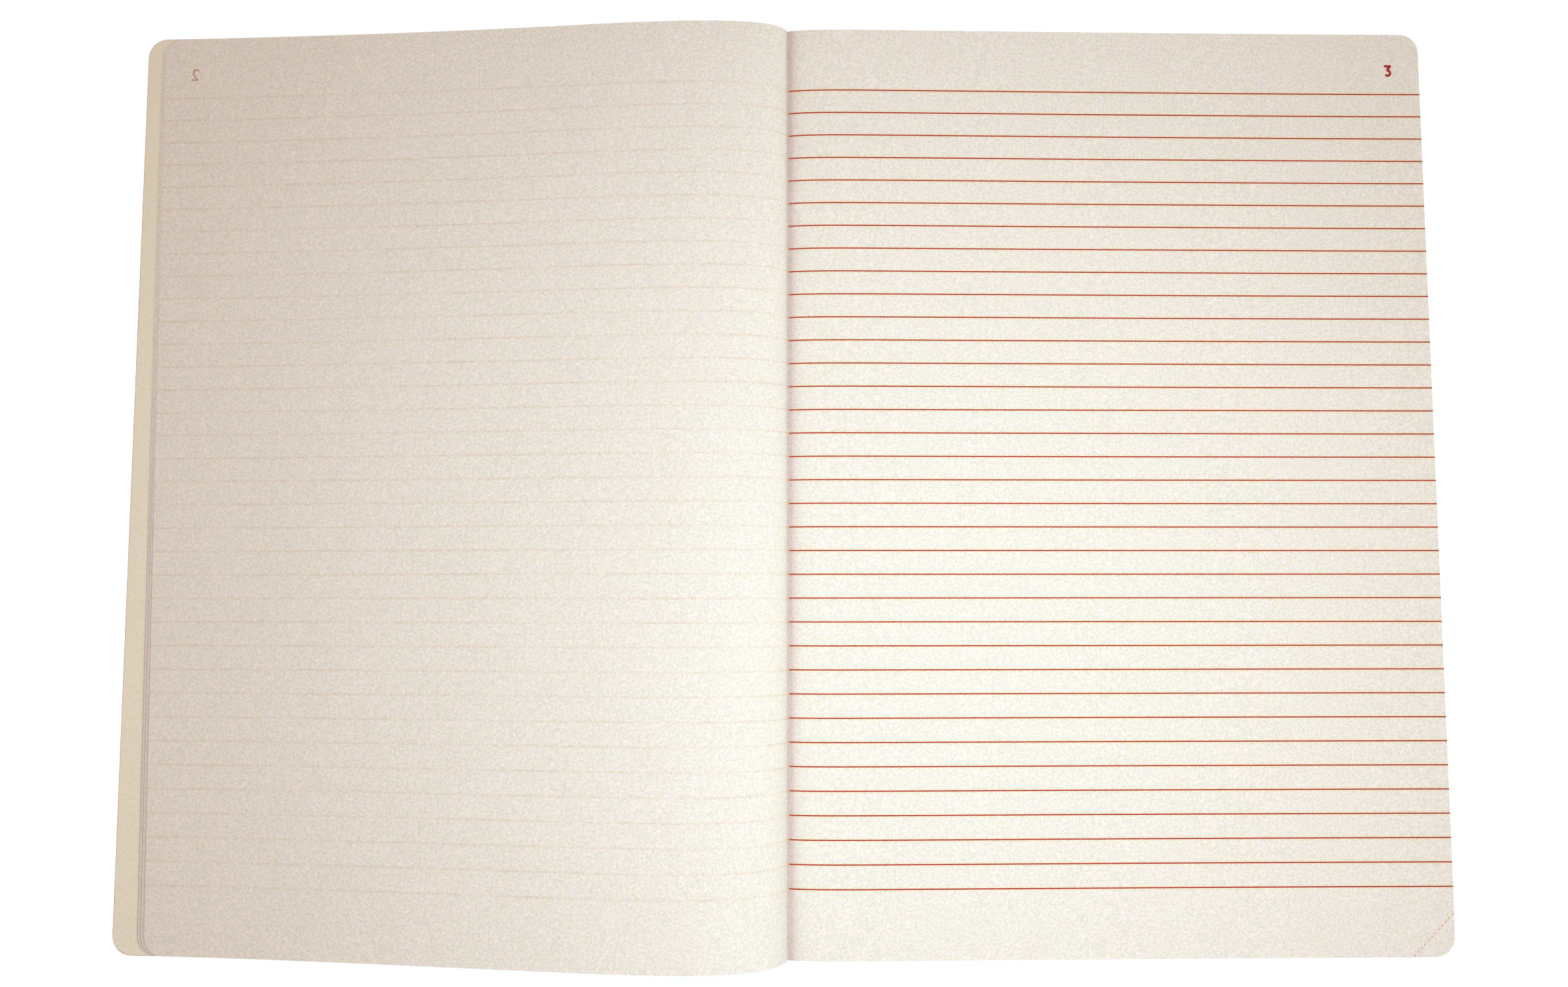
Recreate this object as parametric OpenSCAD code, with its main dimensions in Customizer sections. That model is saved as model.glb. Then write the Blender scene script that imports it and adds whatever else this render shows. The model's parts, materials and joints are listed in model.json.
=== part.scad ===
// Duplicate book in A4, open at its third set and lying on its back cover.
// X runs across the spread, Y towards the head of the page and Z up from the table.
// The gutter is at X 0, the middle of the page height is at Y 0 and the table is at Z 0.

/* [Pages] */
// Width of a leaf, from its fold in the spine to its fore edge
page_w = 210; // [180:1:300]
// Height of a leaf, from tail to head
page_h = 297; // [200:1:420]
// Radius of the rounded outer corners of the leaves
corner_r = 6; // [2:0.5:15]
// How far the folds lie behind the gutter line
fold_depth = 1.7; // [1.4:0.1:3]
// Thickness of the unturned leaves at the fore edge
fore_t = 6.8; // [3:0.1:20]
// How much thicker the leaves are at the spine, from their folds and thread
spine_swell = 3.4; // [0.5:0.1:6]
// How deep the open page dips at the gutter
gutter_dip = 2.2; // [0.5:0.1:2.6]
// Distance over which the open page climbs out of the gutter
gutter_run = 7; // [4:0.5:12]
// Height of the folds beside the gutter above the bottom of the dip
shoulder_h = 1.4; // [0.4:0.1:1.4]

/* [Turned leaves] */
// Number of leaves that lie turned over on the front cover
turned_count = 3; // [1:1:5]
// Thickness of one turned leaf
leaf_t = 0.1; // [0.06:0.01:0.12]
// Step between the fanned fore edges of the turned leaves
fan_step = 1.3; // [0.4:0.1:2]
// Height that the underside of the turned leaves keeps above the front endpaper at their fore edge
turned_gap = 0.15; // [0.05:0.05:0.5]

/* [Covers] */
// Thickness of the card of a cover
cover_t = 0.5; // [0.35:0.05:1.5]
// How far the covers stand out past the leaves at head, tail and fore edge
cover_over = 0.3; // [0.1:0.1:4]
// Thickness of the paper pasted inside a cover
endpaper_t = 0.12; // [0.08:0.01:0.2]
// Strip of the cover that stays bare around the pasted paper
endpaper_margin = 0.2; // [0.2:0.1:2]
// Distance from a hinge line to the pasted paper
endpaper_start = 2; // [1:0.5:6]
// Gap between the closed front cover and the highest part of the open page
close_gap = 0.25; // [0.2:0.05:1]

/* [Spine] */
// Thickness of the gauze and glue on the folds
lining_t = 0.3; // [0.2:0.05:0.6]
// Thickness of the cloth tape around the spine
tape_t = 0.25; // [0.15:0.05:0.3]
// Width of the tape on each cover
tape_lap = 16; // [8:1:30]
// Clearance between the card or the tape's lap and the tape on the spine
hinge_gap = 0.05; // [0.02:0.01:0.1]
// Number of stitches across the folds
stitch_count = 8; // [3:1:14]
// Width of one stitch
stitch_w = 0.6; // [0.3:0.1:1]
// Depth of one stitch
stitch_t = 0.15; // [0.1:0.05:0.15]
// Distance from the ends of the spine to the first and last stitch
stitch_end = 22; // [10:1:50]
// Distance from the lowest and highest fold to the ends of a stitch
stitch_inset = 1; // [0.5:0.1:1.5]

/* [Print] */
// Distance between two ruled lines
rule_pitch = 7.5; // [5:0.5:15]
// Distance from the head of the page to the first ruled line
rule_top = 20.35; // [15:0.05:40]
// Least distance from the last ruled line to the tail of the page
rule_tail = 21.6; // [15:0.1:40]
// Width of a ruled line
rule_w = 0.4; // [0.2:0.05:0.6]
// Thickness of the ink
ink_t = 0.04; // [0.03:0.01:0.08]
// Height of the page number
number_h = 4; // [3:0.5:8]
// Width of the page number
number_w = 2.4; // [1.8:0.1:4]
// Width of the page number's stroke
number_stroke = 0.8; // [0.3:0.05:0.85]
// Distance from the fore edge to the page number
number_side = 9.1; // [9:0.1:30]
// Distance from the first ruled line up to the page number
number_up = 6; // [2:0.1:8]

/* [Corner] */
// Width of the corner that tears off, along the tail
tear_w = 13.4; // [9:0.1:25]
// Height of the corner that tears off, along the fore edge
tear_h = 13.7; // [9:0.1:25]
// Length of one cut of the perforation
slit_l = 0.9; // [0.5:0.1:1]
// Distance from one cut to the next
slit_pitch = 1.5; // [1.2:0.1:3]
// Width of a cut
slit_w = 0.12; // [0.08:0.02:0.2]
// Depth of the cuts in the open page
slit_d = 0.3; // [0.1:0.1:1]

/* [Hidden] */
$fn = 48;

// Reach of the open page from the gutter to the fore edge, and the base it lies on
reach = page_w - fold_depth;
base_z = cover_t + endpaper_t;

// Stations across the open page, closest together at the gutter
page_steps = 22;
page_xs = [for (i = [0:page_steps]) reach * pow(i / page_steps, 2)];
function page_z(x) = base_z + fore_t + spine_swell * pow(1 - x / reach, 1.5)
    - gutter_dip * exp(-x / gutter_run);
valley_z = page_z(0);
crest_z = max([for (x = page_xs) page_z(x)]);
shoulder_z = valley_z + shoulder_h;
// Flat top of the folds, and the foot where their slope meets the gutter
shoulder_w = 0.4;
shoulder_foot = 0.45;
shoulder_rise = 0.05;

// Both hinge lines run along the outer corners of the spine's tape
hinge_x = -(fold_depth + lining_t + tape_t);
hinge_z = crest_z + close_gap + endpaper_t + cover_t;
cover_w = reach - hinge_x + cover_over;
cover_h = page_h + 2 * cover_over;
cover_r = corner_r + cover_over;
card_start = tape_t + hinge_gap;
// The open front cover slopes from its hinge down to the table
open_slope = asin(hinge_z / cover_w);

// Slope of the turned leaves in degrees at shares of the page width, at the head and at the tail
head_bend = [[0, 72], [0.015, 46], [0.04, 18], [0.08, 5], [0.13, 0], [0.2, -4.5],
    [0.33, -7.5], [0.52, -6], [0.76, -4.5], [1, -3.6]];
tail_bend = [[0, 76], [0.015, 66], [0.04, 46], [0.08, 23], [0.13, 6], [0.2, -4],
    [0.33, -9], [0.52, -9.5], [0.76, -8.5], [1, -7]];
turned_t = turned_count * leaf_t;
// The fold of the turned leaves stands this far to the left of the bottom of the dip, and above it
fold_off = 0.15;
// The lower leaves take the shorter way round the bend, so they reach further at the fore edge
turned_l = page_w + (turned_count - 1) * fan_step;
// Steps of the path, stations along the turned leaves and rows up the page, closer where they curve
turned_steps = 105;
turned_cols = 30;
corner_rows = 5;
middle_rows = 8;

function bend(s, v, lean) =
    lookup(s / page_w, tail_bend) * (1 - v) + lookup(s / page_w, head_bend) * v + lean;
// Path of the upper face across the page at height v from 0 at the tail to 1 at the head
function path(v, lean) = let (ds = turned_l / turned_steps) [
    for (
        i = 0, s = 0, x = -fold_off, z = valley_z + fold_off;
        i <= turned_steps;
        a = bend(s + ds / 2, v, lean), x = x - ds * cos(a), z = z + ds * sin(a), i = i + 1, s = i * ds
    ) [s, x, z]
];
// Height at which the upper face meets the fore edge, over the sloping cover
function landing(x) = hinge_z + (x - hinge_x) * tan(open_slope)
    + (cover_t + endpaper_t + turned_gap + turned_t) / cos(open_slope);
function miss(p) = p[turned_steps][2] - landing(p[turned_steps][1]);
function lean_of(v, lean = 0, turns = 3) = turns == 0 ? lean :
    lean_of(v, lean - miss(path(v, lean)) / turned_l * 180 / PI, turns - 1);
// Point of the turned leaves at distance s along a path and depth d below the upper face
function turned_point(p, v, lean, s, d) = let (a = bend(s, v, lean)) [
    lookup(s, [for (q = p) [q[0], q[1]]]) - d * sin(a),
    lookup(s, [for (q = p) [q[0], q[2]]]) - d * cos(a)
];
// How far the rounded corner pulls the fore edge in at height y
function corner_in(y) = let (c = max(0, abs(y) - (page_h / 2 - corner_r)))
    corner_r - sqrt(max(0, corner_r * corner_r - c * c));
// Rows up the page, with the corners' rows spread along their arcs
half_rows = concat(
    [for (i = [1:middle_rows / 2]) (page_h / 2 - corner_r) * (i - 0.5) / (middle_rows / 2)],
    [for (i = [0:corner_rows]) page_h / 2 - corner_r + corner_r * sin(90 * i / corner_rows)]
);
rows = concat([for (i = [len(half_rows) - 1:-1:0]) -half_rows[i]], half_rows);
// Outline of one row: out along the upper face, down the fanned edges and back underneath
function row_outline(y) = let (
    v = y / page_h + 0.5,
    lean = lean_of(v),
    p = path(v, lean),
    top_end = page_w - corner_in(y)
) concat(
    [for (i = [0:turned_cols]) turned_point(p, v, lean, top_end * pow(i / turned_cols, 1.6), 0)],
    [for (k = [1:turned_count - 1]) for (out = [0, 1])
        turned_point(p, v, lean, top_end + (k - 1 + out) * fan_step, k * leaf_t)],
    [for (i = [turned_cols:-1:0]) turned_point(p, v, lean,
        (top_end + (turned_count - 1) * fan_step) * pow(i / turned_cols, 1.6), turned_t)]
);

// Number of ruled lines that the page holds
rule_count = floor((page_h - rule_top - rule_tail) / rule_pitch) + 1;

// Plan outline from x0 to x1, with rounded corners at x1
module plan(x0, x1, h, r) {
    translate([x0, -h / 2]) square([x1 - x0 - r, h]);
    translate([x0, -h / 2 + r]) square([x1 - x0, h - 2 * r]);
    for (side = [-1, 1]) translate([x1 - r, side * (h / 2 - r)]) circle(r);
}

// A profile drawn in X and Z, carried along Y between two heights of the page
module along_y(y0, y1) {
    translate([0, y1, 0]) rotate([90, 0, 0]) linear_extrude(y1 - y0) children();
}

// Skin of ink on the open page, from its first station beside the gutter to the fore edge
module page_skin(y0, y1) {
    along_y(y0, y1) polygon(concat(
        [for (i = [1:page_steps]) [page_xs[i], page_z(page_xs[i])]],
        [for (i = [page_steps:-1:1]) [page_xs[i], page_z(page_xs[i]) + ink_t]]
    ));
}

// Cuts of the perforation, spread evenly along the slanting line of the corner
module perforation() {
    run = sqrt(tear_w * tear_w + tear_h * tear_h);
    slits = floor(run / slit_pitch);
    translate([reach - tear_w, -page_h / 2, page_z(reach)]) rotate([0, 0, atan2(tear_h, tear_w)])
        for (i = [0:slits - 1]) translate([run * (i + 0.5) / slits - slit_l / 2, -slit_w / 2, -slit_d])
            cube([slit_l, slit_w, 2 * slit_d + spine_swell]);
}

module page_block() {
    color("#f8f4ea") difference() {
        intersection() {
            along_y(-page_h / 2, page_h / 2) polygon(concat(
                [[reach, base_z], [-fold_depth, base_z], [-fold_depth, shoulder_z]],
                [[shoulder_w - fold_depth, shoulder_z], [-shoulder_foot, valley_z + shoulder_rise]],
                [for (x = page_xs) [x, page_z(x)]]
            ));
            linear_extrude(hinge_z) plan(-fold_depth, reach, page_h, corner_r);
        }
        perforation();
    }
}

module ruled_lines() {
    color("#b4553c") for (i = [0:rule_count - 1]) {
        y = page_h / 2 - rule_top - i * rule_pitch;
        page_skin(y - rule_w / 2, y + rule_w / 2);
    }
}

// Curved stroke around the origin from angle a0 to a1, as wide as the number's stroke
module bow(rx, ry, a0, a1) {
    n = 14;
    polygon(concat(
        [for (i = [0:n]) let (a = a0 + (a1 - a0) * i / n) [rx * cos(a), ry * sin(a)]],
        [for (i = [n:-1:0]) let (a = a0 + (a1 - a0) * i / n)
            [(rx - number_stroke) * cos(a), (ry - number_stroke) * sin(a)]]
    ));
}

// The figure three: a flat top, a stroke that slants back from it and a round bowl
module figure_three() {
    bowl_rx = number_w / 2;
    bowl_ry = number_h * 0.32;
    bowl_top = 2 * bowl_ry;
    neck_x = number_w * 0.34;
    translate([0, number_h - number_stroke]) square([number_w, number_stroke]);
    polygon([
        [number_w, number_h - number_stroke / 2],
        [number_w - number_stroke * 1.3, number_h - number_stroke / 2],
        [neck_x, bowl_top], [neck_x, bowl_top - number_stroke], [bowl_rx, bowl_top - number_stroke],
        [neck_x + number_stroke * 1.3, bowl_top]
    ]);
    translate([bowl_rx, bowl_ry]) bow(bowl_rx, bowl_ry, 90, -150);
}

module page_number() {
    y = page_h / 2 - rule_top + number_up;
    color("#8c2a1e") intersection() {
        page_skin(y - number_stroke, y + number_h + number_stroke);
        translate([reach - number_side - number_w, y, 0]) linear_extrude(hinge_z) figure_three();
    }
}

module stitches() {
    span = page_h - 2 * stitch_end;
    for (i = [0:stitch_count - 1])
        translate([-fold_depth - stitch_t, span * (i / (stitch_count - 1) - 0.5) - stitch_w / 2,
            base_z + stitch_inset])
            cube([stitch_t, stitch_w, shoulder_z - base_z - 2 * stitch_inset]);
}

module sewing_thread() {
    color("#efe9dc") stitches();
}

module spine_lining() {
    color("#d9cfb6") difference() {
        translate([-fold_depth - lining_t, -page_h / 2, base_z])
            cube([lining_t, page_h, shoulder_z - base_z]);
        stitches();
    }
}

module spine_tape() {
    low_z = tape_t + hinge_gap;
    color("#2b1418") translate([hinge_x, -cover_h / 2, low_z])
        cube([tape_t, cover_h, hinge_z - 2 * low_z]);
}

// Card of a cover, its outer face at Z 0 and its hinge line at X 0, with room for the tape
module card() {
    difference() {
        linear_extrude(cover_t) plan(card_start, cover_w, cover_h, cover_r);
        translate([0, -cover_h, -cover_t]) cube([tape_lap, 2 * cover_h, cover_t + tape_t]);
    }
}

// Part of the tape that is pressed flush into the outer face of a cover
module tape_on_cover() {
    translate([0, -cover_h / 2, 0]) cube([tape_lap, cover_h, tape_t]);
}

// Paper pasted on the inner face of a cover
module lining_paper() {
    translate([0, 0, cover_t]) linear_extrude(endpaper_t)
        plan(endpaper_start, cover_w - endpaper_margin, cover_h - 2 * endpaper_margin, cover_r - endpaper_margin);
}

// Places a cover's pieces at the back hinge, flat on the table
module at_back() {
    translate([hinge_x, 0, 0]) children();
}

// Places a cover's pieces at the front hinge, open and sloping down to the table
module at_front() {
    translate([hinge_x, 0, hinge_z]) rotate([0, -open_slope, 0]) mirror([1, 0, 0]) children();
}

module front_cover() {
    color("#4e1a22") at_front() card();
}

module front_tape_lap() {
    color("#2b1418") at_front() tape_on_cover();
}

module front_endpaper() {
    color("#e4dcb6") at_front() lining_paper();
}

module turned_leaves() {
    outlines = [for (y = rows) [for (q = row_outline(y)) [q[0], y, q[1]]]];
    m = len(outlines[0]);
    n = len(rows);
    quads = [for (j = [0:n - 2]) for (i = [0:m - 1])
        [j * m + i, j * m + (i + 1) % m, (j + 1) * m + (i + 1) % m, (j + 1) * m + i]];
    color("#f4efe3") polyhedron(
        points = [for (row = outlines) for (q = row) q],
        faces = concat(
            [for (q = quads) [q[0], q[2], q[1]]],
            [for (q = quads) [q[0], q[3], q[2]]],
            [[for (i = [0:m - 1]) i]],
            [[for (i = [m - 1:-1:0]) (n - 1) * m + i]]
        )
    );
}

module back_cover() {
    color("#4e1a22") at_back() card();
}

module back_tape_lap() {
    color("#2b1418") at_back() tape_on_cover();
}

module back_endpaper() {
    color("#e4dcb6") at_back() lining_paper();
}

page_block();
ruled_lines();
page_number();
sewing_thread();
spine_lining();
spine_tape();
front_cover();
front_tape_lap();
front_endpaper();
turned_leaves();
back_cover();
back_tape_lap();
back_endpaper();
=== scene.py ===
"""Looks of an A4 duplicate book that lies open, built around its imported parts.

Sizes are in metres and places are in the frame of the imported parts: X runs across the spread from the
gutter, Y runs up the page and Z up from the table.
"""

import json
import math
import random

import bpy
from bpy.props import FloatProperty, FloatVectorProperty, IntProperty, PointerProperty
from mathutils import Matrix, Vector


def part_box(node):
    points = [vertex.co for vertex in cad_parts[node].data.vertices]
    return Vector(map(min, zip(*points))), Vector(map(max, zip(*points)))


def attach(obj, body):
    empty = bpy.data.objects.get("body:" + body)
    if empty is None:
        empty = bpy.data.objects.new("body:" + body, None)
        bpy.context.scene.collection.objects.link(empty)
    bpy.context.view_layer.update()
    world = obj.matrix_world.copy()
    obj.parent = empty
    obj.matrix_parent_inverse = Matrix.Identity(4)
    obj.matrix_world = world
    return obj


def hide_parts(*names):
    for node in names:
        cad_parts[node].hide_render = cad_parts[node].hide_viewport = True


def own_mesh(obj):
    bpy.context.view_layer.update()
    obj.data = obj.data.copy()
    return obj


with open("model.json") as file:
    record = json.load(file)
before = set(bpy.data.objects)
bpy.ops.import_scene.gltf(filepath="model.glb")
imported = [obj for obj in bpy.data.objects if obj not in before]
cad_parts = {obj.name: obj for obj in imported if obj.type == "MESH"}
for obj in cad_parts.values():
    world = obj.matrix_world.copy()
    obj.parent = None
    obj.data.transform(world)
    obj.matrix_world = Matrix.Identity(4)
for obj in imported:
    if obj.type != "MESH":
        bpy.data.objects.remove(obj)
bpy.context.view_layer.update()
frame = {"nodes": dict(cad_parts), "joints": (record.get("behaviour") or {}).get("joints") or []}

bl_info = {
    "name": "Duplicate Book",
    "version": (1, 0, 0),
    "blender": (4, 5, 0),
    "location": "View3D > Sidebar > Book",
    "description": "Open duplicate book with turned leaves, a ruled page, card covers and a taped spine",
    "category": "Object",
}

MM = 0.001

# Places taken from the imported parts
block_low, block_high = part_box("page_block")
cover_low, cover_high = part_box("front_cover")
lines_low, lines_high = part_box("ruled_lines")
number_low, number_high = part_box("page_number")
hinge = Vector(next(j for j in frame["joints"] if j["name"] == "front_cover_hinge")["pos_m"])
page_half = block_high.y
reach = block_high.x
fold_x = block_low.x
base_z = block_low.z


def linear(hex_colour):
    """Linear RGB of an sRGB colour written as six hex digits."""
    parts = [int(hex_colour[i:i + 2], 16) / 255 for i in (1, 3, 5)]
    return [c / 12.92 if c <= 0.04045 else ((c + 0.055) / 1.055) ** 2.4 for c in parts]


def length(name, description, default):
    """A length property in metres, given here in millimetres."""
    return FloatProperty(
        name=name, description=description, default=default * MM, min=0, precision=5, subtype="DISTANCE",
        unit="LENGTH",
    )


def spot(name, description, default):
    """A place in metres, given here in millimetres."""
    return FloatVectorProperty(
        name=name, description=description, default=[c * MM for c in default], size=3, precision=4,
        subtype="TRANSLATION", unit="LENGTH",
    )


def colour(name, description, default):
    """A colour property, given here as sRGB hex digits."""
    return FloatVectorProperty(
        name=name, description=description, default=linear(default), size=3, min=0, max=1, subtype="COLOR"
    )


class BookSizes(bpy.types.PropertyGroup):
    """Sizes of the leaves and of their print."""

    page_width: length("Page width", "Leaf from its fold in the spine to its fore edge", 210)
    corner_radius: length("Corner radius", "Rounding of the outer corners of the leaves", 6)
    fore_thickness: length("Fore edge thickness", "Unturned leaves at the fore edge", 6.8)
    spine_swell: length("Spine swell", "How much thicker the unturned leaves are at the spine", 3.4)
    gutter_dip: length("Gutter dip", "How deep the open page dips at the gutter", 2.2)
    gutter_run: length("Gutter run", "Distance over which the open page climbs out of the gutter", 7)
    shoulder_height: length("Shoulder height", "Folds beside the gutter above the bottom of the dip", 1.4)
    edge_steps: IntProperty(
        name="Edge steps", description="Bundles of leaves that show as steps on the cut edges",
        default=30, min=4,
    )
    edge_ragged: length("Ragged edge", "How far bundles of leaves lie behind the cut edge", 0.09)
    leaf_thickness: length("Leaf thickness", "One turned leaf", 0.08)
    leaf_spacing: length("Leaf spacing", "From one turned leaf to the next", 0.1)
    turned_leaves: IntProperty(
        name="Turned leaves", description="Leaves turned to the left", default=3, min=1
    )
    fan_tail: length("Fan at the tail", "Step between the turned leaves' fore edges at the tail", 1.3)
    fan_head: length("Fan at the head", "Step between the turned leaves' fore edges at the head", 0.5)
    leaf_lift: length("Leaf lift", "Gap between the turned leaves' fore edges at the tail", 0.28)
    cover_thickness: length("Cover thickness", "Card of a cover", 0.5)
    endpaper_thickness: length("Endpaper thickness", "Paper pasted on a cover", 0.12)
    turned_gap: length("Gap below the leaves", "Turned leaves above the endpaper at the fore edge", 0.15)
    root_end: length("Root end", "Hinge line to the place where a turned leaf's root ends", 0.65)
    skin: length("Skin", "How far the turned leaves lie inside the packed ones", 0.03)
    print_lift: length("Print lift", "Show-through number above its leaf, and its thickness", 0.02)
    squash_place: length("Squash place", "Closed cover's hinge line down to the pressed leaves", 0.63)
    rule_pitch: length("Rule pitch", "Distance between two ruled lines", 7.5)
    rule_width: length("Rule width", "Width of a ruled line", 0.4)
    number_height: length("Number height", "Height of the page number that shows through", 4)
    tear_width: length("Tear-off width", "Corner that tears off, along the tail", 13.4)
    tear_height: length("Tear-off height", "Corner that tears off, along the fore edge", 13.7)
    tear_drop: length("Tear-off drop", "How far the tip of the corner bends down", 0.45)
    slit_length: length("Slit length", "One cut of the perforation", 0.95)
    # The perforation's cuts are drawn as thin raised marks that carry painted shade
    slit_width: length("Slit width", "Raised fibres on both sides of a cut", 0.36)
    slit_height: length("Slit height", "Thickness of the raised fibres", 0.03)
    slit_sink: length("Slit sink", "How far the middle of the fibres lies below the page", 0.004)
    slit_pitch: length("Slit pitch", "From one cut of the perforation to the next", 1.5)


class BookColours(bpy.types.PropertyGroup):
    """Colours of the book's papers, inks, card and cloth."""

    paper: colour("Paper", "White leaves where they are brightest", "#fffefa")
    speckle: colour("Speckle", "Darkest specks of the papers", "#efefe3")
    show_through: colour("Show-through", "Print that shows faintly through a leaf", "#efdcc6")
    edge_white: colour("White edges", "Cut edges of the white leaves", "#efe8da")
    edge_tint: colour("Tinted edges", "Cut edges of the copy leaves", "#e3d5a4")
    # Painted shade on the right page beside the gutter, standing in for the shadow of the fold
    gutter_shade: colour("Crease", "Paper drawn into the sewn fold", "#e0d0d4")
    # Painted shade: the line along each leaf's fore edge and the rims of the turned leaves
    edge_shade: colour("Leaf edge", "Cut edge of one leaf, darker than its face", "#bfa3aa")
    endpaper: colour("Endpaper", "Paper pasted inside the covers", "#ffffea")
    endpaper_speckle: colour("Endpaper speckle", "Darkest specks of the endpapers", "#f7f7f0")
    rule_ink: colour("Rule ink", "Ruled lines", "#b42c12")
    ink_halo: colour("Ink halo", "Paper beside a ruled line, warmed by its ink", "#fffcea")
    number_ink: colour("Number ink", "Page number", "#aa1c0c")
    show_through_ink: colour("Show-through ink", "Number that shows through a leaf", "#c79c8c")
    cloud: colour("Clouds", "Soft clouds in the papers", "#cdb9a6")
    # Painted shade between the sheets on the cut edges
    sheet_shade: colour("Streaks", "Shade between the sheets on the cut edges", "#a8927c")
    # Painted shade of the perforation's cuts
    cut: colour("Cuts", "Cut fibres along the perforation", "#dc9a82")
    card: colour("Card", "Covers", "#4e1a22")
    card_worn: colour("Worn card", "Rubbed edges of the covers", "#d99f8c")
    card_grain: colour("Card grain", "Hollows of the card's grain", "#3a1219")
    tape: colour("Tape", "Cloth around the spine", "#35161c")
    tape_shade: colour("Tape shade", "Gaps between the tape's threads", "#120608")
    gauze: colour("Gauze", "Gauze and glue on the folds", "#d9cfb6")
    gauze_shade: colour("Gauze shade", "Gaps between the gauze's threads", "#8c7c5c")
    thread: colour("Thread", "Sewing thread", "#efe9dc")
    thread_shade: colour("Thread shade", "Hollows between the thread's strands", "#b5ab95")


class BookStage(bpy.types.PropertyGroup):
    """Camera, lights and floor."""

    lens: FloatProperty(name="Lens", description="Focal length", default=28.34, subtype="DISTANCE_CAMERA")
    tilt: FloatProperty(name="Tilt", description="Turn about X", default=math.radians(4.54), subtype="ANGLE")
    pan: FloatProperty(name="Pan", description="Turn about Y", default=math.radians(-0.405), subtype="ANGLE")
    camera_place: spot("Camera place", "Lens of the camera", (-3.93, -34.8, 400.9))
    key_place: spot("Key place", "Middle of the softbox", (56, -51, 500))
    key_power: FloatProperty(
        name="Key power", description="Softbox above the pages", default=0.425, subtype="POWER"
    )
    key_size: length("Key size", "Side of the softbox", 300)
    key_spread: FloatProperty(
        name="Key spread", description="Angle of the softbox's beam", default=math.radians(80),
        subtype="ANGLE",
    )
    key_colour: colour("Key colour", "Softbox", "#ddf1ff")
    side: FloatProperty(
        name="Side light", description="Strength of the low light from the right", default=0.6, min=0
    )
    side_slope: FloatProperty(
        name="Side slope", description="Low light off upright", default=math.radians(60), subtype="ANGLE"
    )
    side_spread: FloatProperty(
        name="Side spread", description="Width of the low light", default=math.radians(25), subtype="ANGLE"
    )
    side_colour: colour("Side colour", "Low light from the right", "#e1f5ff")
    fill: FloatProperty(
        name="Fill", description="Strength of the light from all round", default=0.54, min=0
    )
    fill_colour: colour("Fill colour", "Light from all round", "#ffdfd6")
    floor_colour: colour("Floor colour", "Studio floor", "#dff1f6")
    floor_size: FloatProperty(
        name="Floor size", description="Side of the studio floor", default=8, subtype="DISTANCE",
        unit="LENGTH",
    )
    floor_gap: length("Floor gap", "Studio floor below the book", 0.02)
    floor_white: FloatProperty(
        name="Floor white", description="Share of the floor that is clear and glows to the camera",
        default=0.4, min=0, max=1,
    )
    floor_glow: FloatProperty(
        name="Floor glow", description="Glow that the camera sees on the floor", default=0.9, min=0
    )
    glow_dip: FloatProperty(
        name="Glow dip", description="Less glow where the softbox lights the floor", default=0.5, min=0
    )
    glow_reach: length("Glow reach", "Radius of the softbox's light on the floor", 210)


# Slope of the turned leaves in degrees at shares of the page width, at the head and at the tail
HEAD_BEND = (
    (0, 72), (0.015, 46), (0.04, 18), (0.08, 5), (0.13, 0), (0.2, -4.5), (0.33, -7.5), (0.52, -6),
    (0.76, -4.5), (1, -3.6),
)
TAIL_BEND = (
    (0, 76), (0.015, 66), (0.04, 46), (0.08, 23), (0.13, 6), (0.2, -4), (0.33, -9), (0.52, -9.5),
    (0.76, -8.5), (1, -7),
)

# Where the roots start, to the left of the gutter and above its bottom
ROOT_START = 0.15 * MM

# Behind the gutter, the folds rise from FOOT_RISE above its bottom to a flat run at the spine
FOOT_X = -0.45 * MM
FOOT_RISE = 0.05 * MM
FLAT_RUN = 0.4 * MM

# Columns across a leaf crowd towards the fold by this power, and the open page's by the other
LEAF_CROWD = 1.6
PAGE_CROWD = 1.7


def lookup(x, table):
    """Value of a table of pairs at x, on straight lines between its entries."""
    if x <= table[0][0]:
        return table[0][1]
    for (x0, y0), (x1, y1) in zip(table, table[1:]):
        if x <= x1:
            return y0 + (y1 - y0) * (x - x0) / (x1 - x0)
    return table[-1][1]


def page_height(sizes, x):
    """Height of the open page at x, with the folds' shoulder behind the gutter."""
    valley = base_z + sizes.fore_thickness + sizes.spine_swell - sizes.gutter_dip
    if x < 0:
        shoulder = valley + sizes.shoulder_height
        profile = (
            (fold_x, shoulder), (fold_x + FLAT_RUN, shoulder), (FOOT_X, valley + FOOT_RISE), (0, valley)
        )
        return lookup(x, profile)
    swell = sizes.spine_swell * max(0, 1 - x / reach) ** 1.5
    return base_z + sizes.fore_thickness + swell - sizes.gutter_dip * math.exp(-x / sizes.gutter_run)


def beyond_tear(sizes, x, y):
    """Distance past the perforation towards the corner, negative on the page."""
    width, height = sizes.tear_width, sizes.tear_height
    across = (x - (reach - width)) * height - (y + page_half) * width
    return across / math.hypot(width, height)


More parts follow.
